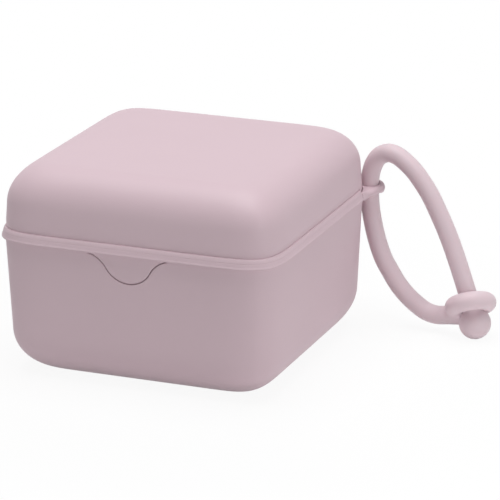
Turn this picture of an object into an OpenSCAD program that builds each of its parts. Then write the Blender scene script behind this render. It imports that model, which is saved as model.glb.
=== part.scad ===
// Pacifier steriliser case: a square two-shell box with a hinged lid, a lift-out
// steaming rack and a looped carrying strap. Millimetres, shown closed.
// The origin is the middle of the flat rest face, +Z is up, and the front, with
// the opening tab, faces -Y.

/* [Case] */
// Width of the case wall at the parting line
case_w = 92; // [88:1:110]
// Depth of the case wall at the parting line
case_d = 92; // [88:1:110]
// Height of the closed case
case_h = 67.4; // [65:0.1:80]
// Height of the top edge of the base
parting_z = 44.2; // [41:0.1:46]
// Plan radius of the upright corners at the parting line
corner_r = 14.5; // [14:0.1:17]
// Wall thickness of the base and the lid
wall_t = 1.8; // [1.4:0.1:2.2]
// Inward lean of the base walls, in degrees
base_draft = 2.4; // [1:0.1:3]
// Inward lean of the lid walls, in degrees
lid_draft = 3; // [1:0.1:3.5]
// Radius of the rounding under the base
base_fillet = 12; // [8:0.1:14]
// Radius of the rounding over the lid
lid_fillet = 12.3; // [8:0.1:14]

/* [Rim] */
// Air gap between the lid and the base at the parting line
parting_gap = 0.2; // [0.15:0.05:0.4]
// Height of the flat lip along the lower edge of the lid
lip_h = 0.8; // [0.5:0.1:1.2]
// How far the flat lip stands out from the wall
lip_out = 0.5; // [0.3:0.1:0.8]
// Height of the round rim bead above the lip
bead_h = 2.6; // [2:0.1:3]
// How far the round rim bead stands out from the wall
bead_out = 1.7; // [1.4:0.1:2]
// How far the skirt of the lid reaches down into the base
skirt_h = 3.2; // [2:0.1:4]
// Thickness of the skirt
skirt_t = 1.4; // [1:0.1:1.8]
// Clearance between the skirt and the base wall at the parting line
skirt_gap = 0.45; // [0.4:0.05:0.6]

/* [Opening tab] */
// Width of the tab where its shoulders meet the lip
tab_w = 27.5; // [24:0.5:32]
// How far the tab hangs below the lid
tab_drop = 9.3; // [8:0.1:10]
// Radius of the round lower end of the tab
tab_round = 8.6; // [7:0.1:9]
// Thickness of the tab
tab_t = 1.3; // [1:0.1:1.6]
// Gap round the tab in its recess
tab_gap = 0.35; // [0.3:0.05:0.6]
// Height of the catch ridge on the back of the tab
catch_h = 0.15; // [0.1:0.05:0.2]
// Radius of the catch ridge's rounding
catch_r = 0.3; // [0.3:0.05:0.5]
// Length of the catch ridge
catch_l = 8.6; // [6:0.1:10]
// Thickness of the base wall behind the recess
recess_back_t = 1.2; // [1:0.1:1.6]

/* [Hinge] */
// Height of the hinge axis above the parting line
hinge_rise = 6.4; // [6:0.1:8]
// Distance of the hinge axis behind the case wall
hinge_back = 3.6; // [3.5:0.1:4.5]
// Outer radius of the hinge knuckles
knuckle_r = 3; // [2.6:0.1:3]
// Distance of each hinge from the middle of the case
hinge_x = 23; // [16:0.5:25]
// Length of the middle knuckle, which belongs to the base
base_knuckle_l = 8; // [6:0.5:10]
// Length of each of the two outer knuckles, which belong to the lid
lid_knuckle_l = 5; // [4:0.5:6]
// End gap between neighbouring knuckles
knuckle_gap = 0.4; // [0.3:0.05:0.6]
// Radius of each hinge pin
pin_r = 1.5; // [1.2:0.1:1.8]
// Clearance round the pin in the base knuckle, where it is held
pin_held_gap = 0.03; // [0.02:0.01:0.05]
// Clearance round the pin in the lid knuckles, which turn on it
pin_turn_gap = 0.09; // [0.06:0.01:0.1]
// Height of the webs that join the lid knuckles to the lid
web_h = 4.5; // [3.5:0.1:5]
// How far below the parting line the arms of the base knuckles start
arm_foot_drop = 9.5; // [8:0.5:12]

/* [Strap eyelet] */
// Clear space between the back right corner of the case and the eyelet bore
eyelet_stand = 1.4; // [1.3:0.1:2.4]
// Clearance between the strap cord and the eyelet bore
eyelet_gap = 0.3; // [0.25:0.05:0.5]
// Wall of the eyelet round its bore
eyelet_wall = 1.6; // [1.2:0.1:2]
// Height of the eyelet above the parting line
eyelet_rise = 3.4; // [3:0.1:4]
// Depth of the root that carries the eyelet below the parting line
eyelet_root = 2; // [1.5:0.1:4]
// Gap between the eyelet and the lid
eyelet_lid_gap = 0.3; // [0.25:0.05:0.5]

/* [Strap] */
// Diameter of the strap cord
cord_d = 6; // [5.5:0.1:6]
// Angle of the strap loop about the eyelet, in degrees from +X
strap_turn = -7; // [-10:1:0]
// Distance from the eyelet to the middle of the ring
ring_reach = 36.5; // [36.3:0.1:36.7]
// Height of the middle of the ring
ring_z = 11.8; // [11.6:0.1:12.2]
// Radius of the ring's tube
ring_tube_r = 2.6; // [2.4:0.1:2.7]
// Lean of the ring's axis in the plane of the loop, in degrees
ring_lean = -6; // [-9:1:-4]
// Tilt of the ring across the plane of the loop, which raises its front, in degrees
ring_tilt = 6; // [0:0.5:6]
// Clearance between the cord and the ring it passes through
ring_gap = 0.3; // [0.25:0.05:0.5]
// Radius of the ball that stops the cord under the ring
ball_r = 5.2; // [4.8:0.1:5.3]
// Distance from the eyelet to the middle of the ball
ball_reach = 38.2; // [38:0.1:38.4]
// Length of the neck between the cord and the ball
ball_neck_l = 2; // [1.5:0.1:2.5]

/* [Steaming rack] */
// Clearance between the edge of the rack and the case wall at the parting line
rack_side_gap = 5.2; // [4.2:0.1:9.2]
// Plan radius of the rack plate's corners
rack_corner_r = 14; // [10:0.5:16]
// Thickness of the rack plate
rack_t = 1.8; // [1.4:0.1:2.4]
// Height of the rack's feet, which leaves room for the water
rack_foot_h = 7.5; // [6:0.5:10]
// Radius of each foot
rack_foot_r = 3; // [2.5:0.1:3.5]
// Distance of each foot from the middle lines of the rack
rack_foot_at = 25; // [22:0.5:26]
// Gap under the feet
rack_floor_gap = 0.3; // [0.2:0.05:0.4]
// Height of the crossing dividers above the plate
divider_h = 12; // [8:0.5:16]
// Thickness of the dividers
divider_t = 1.6; // [1.2:0.1:2]
// Radius of the grip post in the middle
grip_r = 4; // [3.5:0.1:5]
// Height of the grip post above the plate
grip_h = 20; // [16:0.5:24]
// Diameter of the steam holes in the plate
steam_hole_d = 5; // [4:0.1:6]
// Spacing of the steam holes
steam_pitch = 8.5; // [8:0.1:10]

/* [Hidden] */

$fn = 72;
shell_colour = [0.84, 0.76, 0.79];
rack_colour = [0.90, 0.87, 0.88];
strap_colour = [0.88, 0.82, 0.85];

// Amount that neighbouring shapes overlap where they are one piece
fuse = 0.4;
// Amount that a cutting shape runs past the face it cuts
past = 1;

// Axis of the rounding at the back right corner
corner_x = case_w / 2 - corner_r;
corner_y = case_d / 2 - corner_r;

lid_z = parting_z + parting_gap;
lip_top_z = lid_z + lip_h;
bead_top_z = lip_top_z + bead_h;

base_lean = parting_z * tan(base_draft);
lid_lean = (case_h - lid_z) * tan(lid_draft);
// The roundings stay inside the plan radius of the corners
least_flat = 0.5;
base_round = min(base_fillet, corner_r - base_lean - least_flat);
lid_round = min(lid_fillet, corner_r - lid_lean - least_flat);

skirt_out_x = corner_r - wall_t / cos(base_draft) - skirt_gap;
skirt_in_x = skirt_out_x - skirt_t;
skirt_chamfer = 0.5;
ledge_h = 2;
// Room that the skirt leaves at each side of the tab's recess
skirt_notch_gap = 1.5;

hinge_y = case_d / 2 + hinge_back;
hinge_z = parting_z + hinge_rise;
hinge_half = base_knuckle_l / 2 + knuckle_gap + lid_knuckle_l;
arm_clear = 0.1;

eyelet_bore_r = cord_d / 2 + eyelet_gap;
eyelet_out_r = eyelet_bore_r + eyelet_wall;
// Distance of the eyelet centre from the axis of the corner
eyelet_reach = corner_r + eyelet_stand + eyelet_bore_r;
eyelet_x = corner_x + eyelet_reach * cos(45);
eyelet_y = corner_y + eyelet_reach * sin(45);
// Angle from the case's side at which the web of the eyelet leaves the rim
eyelet_web_spread = 14;

ring_bore_r = cord_d / 2 + ring_gap;
ring_major_r = ring_bore_r + ring_tube_r;
ball_z = ball_r;

// Width of the square rack plate
rack_w = min(case_w, case_d) - 2 * (wall_t + rack_side_gap);
rack_z = wall_t + rack_floor_gap + rack_foot_h;
rack_top_z = rack_z + rack_t;
// Land between a steam hole and the feet, the grip and the rack's edge
steam_land = 1;
// Distance of the first row of steam holes from the dividers' middle
steam_first = 6.4;
// Gap between the ends of the dividers and the edge of the rack
divider_end_gap = 1.6;

// Route of the strap cord in the plane of its loop: distance from the eyelet
// and height. It starts beside the ring, climbs through the eyelet, arches
// over and comes down through the ring to the ball.
CORD_ROUTE = [
    [28.4, 6.3], [24.6, 5.8], [20.8, 6.4], [17.2, 8.3], [13.8, 10.8], [10.6, 14],
    [7.8, 17.9], [5.3, 21.8], [3.6, 25.7], [2.2, 30], [1.1, 34.5], [0.3, 39],
    [0, 43.5], [0, 47], [0.4, 50.5], [1.6, 54], [3.6, 56.6], [6.5, 57.9],
    [9.6, 57.5], [12.6, 55.8], [15.6, 53.4], [18.4, 50.3], [21.6, 46], [24.3, 41.2],
    [26.9, 36.2], [29.2, 31.2], [31.3, 26], [33.3, 20.7], [35, 16], [36.9, 10.6]
];
cord_sides = 12;

// ---------------------------------------------------------------- sections

// One half of a cup, standing on floor_z, from the corner axis out to its wall.
// The wall leans in by draft towards the floor and the bend is a true arc.
module cup_section(rim_x, rim_z, floor_z, bend, draft) {
    bend_z = floor_z + bend;
    bend_x = rim_x + (sin(draft) * (bend_z - rim_z) - bend) / cos(draft);
    polygon([
        [0, floor_z], [bend_x, floor_z], [bend_x, bend_z],
        [bend_x + bend * cos(draft), bend_z - bend * sin(draft)],
        [rim_x, rim_z], [0, rim_z]
    ]);
    intersection() {
        translate([bend_x, bend_z]) circle(bend);
        translate([bend_x, floor_z]) square(bend);
    }
}

// The wall and floor of such a cup, thick all through
module cup_wall_section(rim_z, bend, draft) {
    difference() {
        cup_section(corner_r, rim_z, 0, bend, draft);
        cup_section(corner_r - wall_t / cos(draft) + past * tan(draft), rim_z + past,
                    wall_t, bend - wall_t, draft);
    }
}

// Carries a section all round the case: a quarter turn at each corner and a
// straight run along each side
module around_case() {
    for (turn = [0:3]) {
        out = turn % 2 == 0 ? corner_x : corner_y;
        side = turn % 2 == 0 ? corner_y : corner_x;
        rotate([0, 0, 90 * turn]) {
            translate([out, side, 0]) rotate_extrude(angle = 90) children();
            translate([out, side, 0]) rotate([90, 0, 0]) linear_extrude(2 * side) children();
        }
    }
}

// Flat plate between the four corner axes
module middle_plate(z) {
    translate([-corner_x, -corner_y, z]) cube([2 * corner_x, 2 * corner_y, wall_t]);
}

// Outline of the rim on the lid: the round bead over the flat lip
module rim_section() {
    bead_r = bead_h / 2;
    translate([corner_r + bead_out - bead_r, lip_top_z + bead_r]) circle(bead_r);
    translate([corner_r - fuse, lip_top_z]) square([fuse + bead_out - bead_r, bead_h]);
    translate([corner_r - fuse, lid_z]) square([fuse + lip_out, lip_h + bead_r]);
}

// Skirt that hangs inside the base, with the ledge that carries it
module skirt_section() {
    polygon([
        [skirt_in_x, lid_z - skirt_h], [skirt_out_x - skirt_chamfer, lid_z - skirt_h],
        [skirt_out_x, lid_z - skirt_h + skirt_chamfer], [skirt_out_x, lid_z],
        [corner_r - fuse, lid_z], [corner_r - wall_t / 2, lid_z + ledge_h + skirt_t],
        [skirt_in_x, lid_z + ledge_h - fuse]
    ]);
}

// ---------------------------------------------------------------- opening tab

tab_rounds_apart = (pow(tab_w / 2, 2) + pow(tab_drop, 2)) / (2 * tab_drop);
tab_shoulder_r = tab_rounds_apart - tab_round;
tab_end_trim = 1.2;

// Bell outline of the tab, grown by grow on its free edges: hollow shoulders
// that run into a round end
module bell(grow) {
    shoulder_z = lid_z - tab_shoulder_r;
    round_z = lid_z - tab_drop + tab_round;
    intersection() {
        union() {
            difference() {
                polygon([
                    [-tab_w / 2, lid_z], [tab_w / 2, lid_z], [tab_w / 2, shoulder_z],
                    [0, round_z], [-tab_w / 2, shoulder_z]
                ]);
                for (side = [-1, 1])
                    translate([side * tab_w / 2, shoulder_z]) circle(tab_shoulder_r - grow);
            }
            translate([0, round_z]) circle(tab_round + grow);
        }
        translate([-tab_w / 2 + tab_end_trim - grow, lid_z - 2 * tab_drop])
            square([tab_w - 2 * tab_end_trim + 2 * grow, 2 * tab_drop]);
    }
}

// Slab that lies along the leaning front wall between two depths behind its face
module front_slab(near, far) {
    translate([0, -case_d / 2, parting_z]) rotate([base_draft, 0, 0])
        translate([-tab_w, near, -3 * tab_drop]) cube([2 * tab_w, far - near, 4 * tab_drop]);
}

// The bell outline as a block through the front wall
module bell_block(grow) {
    translate([0, -case_d / 2 + 3 * wall_t, 0]) rotate([90, 0, 0])
        linear_extrude(6 * wall_t) bell(grow);
}

module opening_tab() {
    intersection() {
        front_slab(0, tab_t);
        bell_block(0);
    }
    // Neck that joins the tab to the lid
    neck_w = tab_w - 2 * tab_end_trim;
    translate([-neck_w / 2, -case_d / 2, lid_z - past * tan(base_draft)])
        cube([neck_w, tab_t, fuse]);
    // Catch ridge across the back of the tab
    ridge_z = lid_z - tab_drop + tab_round / 2;
    translate([0, -case_d / 2, parting_z]) rotate([base_draft, 0, 0])
        translate([-catch_l / 2, tab_t - catch_r + catch_h, ridge_z - parting_z])
            rotate([0, 90, 0]) cylinder(h = catch_l, r = catch_r);
}

// ---------------------------------------------------------------- hinge

// Point where the tangent from a point touches a circle, on the given side
function tangent_point(from, centre, r, side) =
    let (d = from - centre, turn = atan2(d[1], d[0]) + side * acos(r / norm(d)))
    centre + r * [cos(turn), sin(turn)];

// Section of the base knuckle and of the arm that carries it up past the rim
module arm_section() {
    axis = [hinge_y, hinge_z];
    foot = [case_d / 2 - wall_t / 2, parting_z - arm_foot_drop];
    polygon([
        foot, tangent_point(foot, axis, knuckle_r, 1), axis,
        [hinge_y - knuckle_r + arm_clear, hinge_z],
        [hinge_y - knuckle_r + arm_clear, parting_z],
        [case_d / 2 - wall_t / 2, parting_z]
    ]);
    translate(axis) circle(knuckle_r);
}

// Section of a lid knuckle and of the web that joins it to the lid wall
module web_section() {
    translate([case_d / 2 - wall_t / 2 - lid_lean, hinge_z - web_h / 2])
        square([hinge_back + wall_t / 2 + lid_lean, web_h]);
    translate([hinge_y, hinge_z]) circle(knuckle_r);
}

// Turns a section in Y and Z into a block that is length long about x
module along_x(x, length) {
    translate([x - length / 2, 0, 0]) rotate([90, 0, 90]) linear_extrude(length) children();
}

module hinge_bore(x, length, r) {
    translate([x - length / 2, hinge_y, hinge_z]) rotate([0, 90, 0]) cylinder(h = length, r = r);
}

module hinge_pin(side) {
    length = 2 * hinge_half;
    color(shell_colour) hinge_bore(side * hinge_x, length, pin_r);
}

module hinge_pin_left() {
    hinge_pin(-1);
}

module hinge_pin_right() {
    hinge_pin(1);
}

// ---------------------------------------------------------------- eyelet

// Plan of the eyelet, grown by grow: its round end, with a web whose sides run
// tangent from the middle of the lid's rim to the round end
module eyelet_plan(grow) {
    centre = [eyelet_x, eyelet_y];
    axis = [corner_x, corner_y];
    rim_r = corner_r + bead_out / 2 + grow;
    end_r = eyelet_out_r + grow;
    web_start = eyelet_web_spread - atan(grow / rim_r);
    side_a = axis + rim_r * [cos(web_start), sin(web_start)];
    side_b = axis + rim_r * [sin(web_start), cos(web_start)];
    polygon([
        axis, side_a, tangent_point(side_a, centre, end_r, 1),
        centre, tangent_point(side_b, centre, end_r, -1), side_b
    ]);
    translate(centre) circle(end_r);
}

// Room behind the web of the eyelet, through which the rim passes as the lid opens
module eyelet_sweep() {
    from_x = corner_x - eyelet_lid_gap + (corner_r + eyelet_lid_gap) * sin(eyelet_web_spread);
    translate([from_x, corner_y]) square([eyelet_x - from_x, corner_r + 2 * bead_out]);
}

module eyelet() {
    // The loop, which stands in a gap of the lid's rim
    difference() {
        translate([0, 0, parting_z - fuse]) linear_extrude(eyelet_rise + fuse) eyelet_plan(0);
        translate([corner_x, corner_y, parting_z])
            cylinder(h = eyelet_rise + past, r = corner_r + eyelet_lid_gap);
        translate([corner_x, corner_y, parting_z - past])
            cylinder(h = 2 * past, r = corner_r - wall_t / 2);
    }
    // Its root on the corner of the base
    difference() {
        translate([0, 0, parting_z - eyelet_root]) linear_extrude(eyelet_root) intersection() {
            eyelet_plan(0);
            translate([corner_x, corner_y]) circle(corner_r + bead_out);
        }
        translate([corner_x, corner_y, parting_z - eyelet_root - past])
            cylinder(h = eyelet_root + 2 * past, r = corner_r - wall_t / 2);
    }
}

// ---------------------------------------------------------------- pieces

module base_shell() {
    color(shell_colour) difference() {
        union() {
            around_case() cup_wall_section(parting_z, base_round, base_draft);
            middle_plate(0);
            // Wall behind the recess of the tab
            intersection() {
                front_slab(wall_t - fuse, tab_t + tab_gap + recess_back_t);
                bell_block(tab_gap + recess_back_t);
                translate([-tab_w, -case_d / 2, 0]) cube([2 * tab_w, case_d / 4, parting_z]);
            }
            for (side = [-1, 1]) along_x(side * hinge_x, base_knuckle_l) arm_section();
            eyelet();
        }
        intersection() {
            front_slab(-past, tab_t + tab_gap);
            bell_block(tab_gap);
        }
        for (side = [-1, 1])
            hinge_bore(side * hinge_x, base_knuckle_l + 2 * past, pin_r + pin_held_gap);
        translate([eyelet_x, eyelet_y, parting_z - eyelet_root - past])
            cylinder(h = eyelet_root + eyelet_rise + 2 * past, r = eyelet_bore_r);
    }
}

module lid_shell() {
    notch_w = base_knuckle_l + 2 * knuckle_gap;
    skirt_notch_w = tab_w + 2 * (tab_gap + recess_back_t + skirt_notch_gap);
    color(shell_colour) difference() {
        union() {
            translate([0, 0, case_h]) mirror([0, 0, 1])
                around_case() cup_wall_section(case_h - lid_z, lid_round, lid_draft);
            middle_plate(case_h - wall_t);
            difference() {
                around_case() rim_section();
                translate([0, 0, lid_z - past]) linear_extrude(bead_top_z - lid_z + 2 * past) {
                    eyelet_plan(eyelet_lid_gap);
                    eyelet_sweep();
                }
            }
            difference() {
                around_case() skirt_section();
                translate([-skirt_notch_w / 2, -case_d / 2, lid_z - skirt_h - past])
                    cube([skirt_notch_w, case_d / 4, skirt_h + past]);
            }
            opening_tab();
            for (side = [-1, 1], end = [-1, 1])
                along_x(side * hinge_x + end * (hinge_half - lid_knuckle_l / 2), lid_knuckle_l)
                    web_section();
        }
        for (side = [-1, 1]) {
            // Notch in the rim that lets the arm of the base through
            translate([side * hinge_x - notch_w / 2, case_d / 2 + arm_clear, lid_z - past])
                cube([notch_w, 2 * bead_out, bead_top_z - lid_z + 2 * past]);
            hinge_bore(side * hinge_x, 2 * hinge_half + 2 * past, pin_r + pin_turn_gap);
        }
    }
}

// Square with round corners, about the middle
module round_square(width, r) {
    reach = width / 2 - r;
    for (sx = [-1, 1], sy = [-1, 1]) translate([sx * reach, sy * reach]) circle(r);
    square([width, 2 * reach], center = true);
    square([2 * reach, width], center = true);
}

module steaming_rack() {
    holes_a_side = floor((rack_w / 2 - steam_hole_d) / steam_pitch);
    color(rack_colour) difference() {
        union() {
            translate([0, 0, rack_z]) linear_extrude(rack_t) round_square(rack_w, rack_corner_r);
            for (sx = [-1, 1], sy = [-1, 1])
                translate([sx * rack_foot_at, sy * rack_foot_at, rack_z - rack_foot_h])
                    cylinder(h = rack_foot_h + fuse, r = rack_foot_r);
            for (turn = [0, 90]) rotate([0, 0, turn])
                translate([-rack_w / 2 + divider_end_gap, -divider_t / 2, rack_top_z - fuse])
                    cube([rack_w - 2 * divider_end_gap, divider_t, divider_h + fuse]);
            translate([0, 0, rack_top_z - fuse]) cylinder(h = grip_h + fuse, r = grip_r);
            translate([0, 0, rack_top_z + grip_h]) sphere(grip_r);
        }
        // Steam holes in each quarter, clear of the feet, the grip and the corners
        for (sx = [-1, 1], sy = [-1, 1], ix = [0:holes_a_side - 1], iy = [0:holes_a_side - 1])
            let (
                x = steam_first + steam_pitch * ix, y = steam_first + steam_pitch * iy,
                room = steam_hole_d / 2 + steam_land, bend = rack_w / 2 - rack_corner_r
            )
                if (norm([x - rack_foot_at, y - rack_foot_at]) > rack_foot_r + room
                    && norm([x, y]) > grip_r + room
                    && norm([max(x - bend, 0), max(y - bend, 0)]) < rack_corner_r - room)
                    translate([sx * x, sy * y, rack_z - past])
                        cylinder(h = rack_t + 2 * past, d = steam_hole_d);
    }
}

// ---------------------------------------------------------------- strap

// Places the plane of the loop, where X is the distance from the eyelet
module loop_plane() {
    translate([eyelet_x, eyelet_y, 0]) rotate([0, 0, strap_turn]) children();
}

// Direction of a route at one of its points, in the plane of the loop
function route_way(route, i) =
    let (a = route[max(i - 1, 0)], b = route[min(i + 1, len(route) - 1)])
    (b - a) / norm(b - a);

// Points of a round tube swept along a route in the plane of the loop
function tube_points(route, r, sides) = [
    for (i = [0:len(route) - 1], k = [0:sides - 1])
        let (way = route_way(route, i), out = r * cos(360 * k / sides), across = r * sin(360 * k / sides))
        [route[i][0] - way[1] * out, across, route[i][1] + way[0] * out]
];

function tube_faces(rings, sides) = concat(
    [[for (k = [0:sides - 1]) sides - 1 - k]],
    [for (i = [0:rings - 2], k = [0:sides - 1])
        let (a = i * sides, b = a + sides, n = (k + 1) % sides) [a + k, a + n, b + n, b + k]],
    [[for (k = [0:sides - 1]) (rings - 1) * sides + k]]
);

module strap_cord() {
    color(strap_colour) loop_plane()
        polyhedron(tube_points(CORD_ROUTE, cord_d / 2, cord_sides),
                   tube_faces(len(CORD_ROUTE), cord_sides));
}

// Cylinder in the plane of the loop from one route point along the route's way
module stub(at, way, length) {
    translate([at[0], 0, at[1]]) rotate([0, 90 - atan2(way[1], way[0]), 0])
        cylinder(h = length, r = cord_d / 2);
}

module strap_ring() {
    start = CORD_ROUTE[0];
    way = -route_way(CORD_ROUTE, 0);
    neck_l = cord_d / 2;
    color(strap_colour) loop_plane() difference() {
        union() {
            translate([ring_reach, 0, ring_z]) rotate([-ring_tilt, ring_lean, 0])
                rotate_extrude() translate([ring_major_r, 0]) circle(ring_tube_r);
            stub(start, way, neck_l);
            translate([start[0] + neck_l * way[0], 0, start[1] + neck_l * way[1]])
                sphere(cord_d / 2);
        }
        translate([ball_reach, 0, ball_z]) sphere(ball_r + ring_gap);
    }
}

module strap_ball() {
    last = len(CORD_ROUTE) - 1;
    way = route_way(CORD_ROUTE, last);
    color(strap_colour) loop_plane() {
        translate([ball_reach, 0, ball_z]) sphere(ball_r);
        stub(CORD_ROUTE[last], way, ball_neck_l);
    }
}

base_shell();
lid_shell();
hinge_pin_left();
hinge_pin_right();
steaming_rack();
strap_cord();
strap_ring();
strap_ball();
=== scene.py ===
"""Looks of the pacifier steriliser case.

The case has square shells with soft superellipse corners, a rim with a bead, a
strip and a lip, a bell-shaped opening tab, two hinges, a lift-out rack and a
looped silicone strap.
Sizes in this file are millimetres until a mesh is made, which is in metres.
The frame is the CAD frame: the origin is the middle of the rest face, +Z is up
and the front of the case faces -Y.
"""

from __future__ import annotations

import logging
import math
from dataclasses import dataclass, field
from enum import Enum
from typing import Callable

import bmesh
import bpy
import numpy as np
from mathutils import Matrix, Vector

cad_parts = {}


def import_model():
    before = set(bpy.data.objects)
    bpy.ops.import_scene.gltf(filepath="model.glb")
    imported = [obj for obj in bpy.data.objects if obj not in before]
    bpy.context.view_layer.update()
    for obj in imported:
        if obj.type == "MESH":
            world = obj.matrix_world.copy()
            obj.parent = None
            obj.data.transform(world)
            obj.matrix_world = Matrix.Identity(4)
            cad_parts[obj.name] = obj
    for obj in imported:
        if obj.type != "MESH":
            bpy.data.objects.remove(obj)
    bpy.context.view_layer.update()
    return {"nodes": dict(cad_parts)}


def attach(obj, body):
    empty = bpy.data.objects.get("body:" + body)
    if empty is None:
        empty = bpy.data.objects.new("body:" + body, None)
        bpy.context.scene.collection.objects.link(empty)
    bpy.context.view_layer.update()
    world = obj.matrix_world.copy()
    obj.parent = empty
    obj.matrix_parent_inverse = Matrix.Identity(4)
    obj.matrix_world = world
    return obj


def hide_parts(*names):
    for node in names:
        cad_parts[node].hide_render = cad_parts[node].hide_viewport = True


LOG = logging.getLogger("steriliser_case")
# Metres in a millimetre
MM = 0.001

# Edges sharper than this angle, in degrees, are drawn as edges
SHARP_ANGLE = 42

# Shares of the way out at which a flat floor has a row of points
FLOOR_SHARES = (0.3, 0.6, 0.85)

Array = np.ndarray
Pair = tuple[float, float]
Inputs = dict[str | int, object]


class Body(Enum):
    """The moving bodies of the case."""

    BASE = "base"
    LID = "lid"
    RACK = "rack"
    STRAP = "strap"


class Slot(Enum):
    """The material slots of the record."""

    BASE = "base"
    LID = "lid"
    PIN = "pin"
    RACK = "rack"
    STRAP = "strap"


# ---------------------------------------------------------------- mesh tools


@dataclass
class Surface:
    """Grids of points gathered into one closed mesh.

    The faces are kept in blocks of shape (faces, corners).
    """

    points: list[Array] = field(default_factory=list)
    blocks: list[Array] = field(default_factory=list)
    count: int = 0

    def add_points(self, points: Array) -> int:
        """Adds points.

        Args:
            points: Array of shape (..., 3), in millimetres.

        Returns:
            Index of the first point added.
        """
        start = self.count
        flat = np.asarray(points, float).reshape(-1, 3)
        self.points.append(flat)
        self.count += len(flat)
        return start

    def add_grid(self, grid: Array, wrap_rows: bool = False, wrap_cols: bool = True) -> Array:
        """Adds a grid of quads.

        Args:
            grid: Points of shape (rows, columns, 3).
            wrap_rows: Joins the last row to the first.
            wrap_cols: Joins the last column to the first.

        Returns:
            Array of shape (rows, columns) with each point's index.
        """
        rows, cols = grid.shape[:2]
        index = self.add_points(grid) + np.arange(rows * cols).reshape(rows, cols)
        a = index if wrap_rows else index[:-1]
        b = np.roll(index, -1, 0) if wrap_rows else index[1:]
        if wrap_cols:
            quads = np.stack([a, np.roll(a, -1, 1), np.roll(b, -1, 1), b], -1)
        else:
            quads = np.stack([a[:, :-1], a[:, 1:], b[:, 1:], b[:, :-1]], -1)
        self.blocks.append(quads.reshape(-1, 4))
        return index

    def add_pole(self, ring: Array, point: Array, first: bool) -> None:
        """Closes a ring of indices with a fan to one point.

        Args:
            ring: Indices of the ring, in the order of the grid's columns.
            point: The pole.
            first: True where the pole comes before the grid's rows.
        """
        pole = np.full(len(ring), self.add_points(point))
        after = np.roll(ring, -1)
        fan = [pole, after, ring] if first else [ring, after, pole]
        self.blocks.append(np.stack(fan, -1))

    def add_closed(self, grid: Array, start: Array, end: Array) -> None:
        """Adds a grid that is closed round its columns and at both ends.

        Args:
            grid: Points of shape (rows, columns, 3).
            start: The pole before its first row.
            end: The pole after its last row.
        """
        index = self.add_grid(grid)
        self.add_pole(index[0], start, first=True)
        self.add_pole(index[-1], end, first=False)

    def add_cap(self, ring: Array, flip: bool = False) -> None:
        """Closes a ring of indices with one flat face."""
        self.blocks.append((ring[::-1] if flip else ring)[None])

    def build(self, name: str) -> bpy.types.Object:
        """Makes the object, with faces that point outwards.

        The sign of the volume, a sixth of the sum of p0 . (p1 x p2) over the fan
        triangles of all faces, tells whether the faces have to be turned round.

        Args:
            name: Name of the piece.

        Returns:
            The new object, at the origin.
        """
        points = np.concatenate(self.points) * MM
        fans = np.concatenate([
            block[:, [0, k, k + 1]] for block in self.blocks for k in range(1, block.shape[1] - 1)
        ])
        p0, p1, p2 = (points[fans[:, k]] for k in range(3))
        volume = np.einsum("ij,ij->", p0, np.cross(p1, p2)) / 6
        order = 1 if volume > 0 else -1
        faces = [face for block in self.blocks for face in block[:, ::order].tolist()]
        mesh = bpy.data.meshes.new(name)
        mesh.from_pydata(points.tolist(), [], faces)
        mesh.update()
        shade_smooth(mesh)
        mesh.set_sharp_from_angle(angle=math.radians(SHARP_ANGLE))
        return placed(name, mesh)


def shade_smooth(mesh: bpy.types.Mesh) -> None:
    """Shades every face of a mesh smooth."""
    mesh.polygons.foreach_set("use_smooth", np.ones(len(mesh.polygons), bool))


def placed(name: str, data: bpy.types.ID) -> bpy.types.Object:
    """Puts a mesh, a camera or a lamp into the scene.

    Args:
        name: Name of the object.
        data: What the object shows.

    Returns:
        The new object, at the origin.
    """
    made = bpy.data.objects.new(name, data)
    bpy.context.scene.collection.objects.link(made)
    return made


def full_turn(steps: int) -> Array:
    """Angles at even steps once round, without the last, which is the first again."""
    return np.linspace(0, 2 * np.pi, steps, endpoint=False)


def line_length(points: Array) -> Array:
    """Length along a line of points up to each of them."""
    return np.concatenate([[0], np.cumsum(np.linalg.norm(np.diff(points, axis=0), axis=1))])


def unit_way(points: Array) -> Array:
    """Direction of a line at each of its points, one long."""
    way = np.gradient(points, axis=0)
    return way / np.linalg.norm(way, axis=1, keepdims=True)


def smooth(share: Array) -> Array:
    """Soft step from 0 to 1: 3 t^2 - 2 t^3, with t kept within 0 and 1."""
    t = np.clip(share, 0, 1)
    return t * t * (3 - 2 * t)


def arc(centre: Pair, r: float, start: float, end: float, steps: int) -> Array:
    """Points on an arc: centre + r (cos a, sin a), with a from start to end in degrees."""
    a = np.radians(np.linspace(start, end, steps + 1))
    return np.stack([centre[0] + r * np.cos(a), centre[1] + r * np.sin(a)], -1)


def degrees_of(way: Array) -> float:
    """Angle of a plane direction, counter-clockwise from the first axis."""
    return math.degrees(math.atan2(way[1], way[0]))


def prism(outline: Array, low: float, high: float, name: str, bevel: float) -> bpy.types.Object:
    """Extrudes an outline in Y and Z along X, and rounds its edges.

    Args:
        outline: Points of shape (n, 2) as y and z, in millimetres.
        low: X of the first end.
        high: X of the other end.
        name: Name of the piece.
        bevel: Radius of the edges.

    Returns:
        The new object.
    """
    rows = np.array([np.insert(outline, 0, x, axis=1) for x in (low, high)])
    surface = Surface()
    index = surface.add_grid(rows)
    surface.add_cap(index[0], flip=True)
    surface.add_cap(index[1])
    piece = surface.build(name)
    round_edges(piece, bevel)
    return piece


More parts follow.
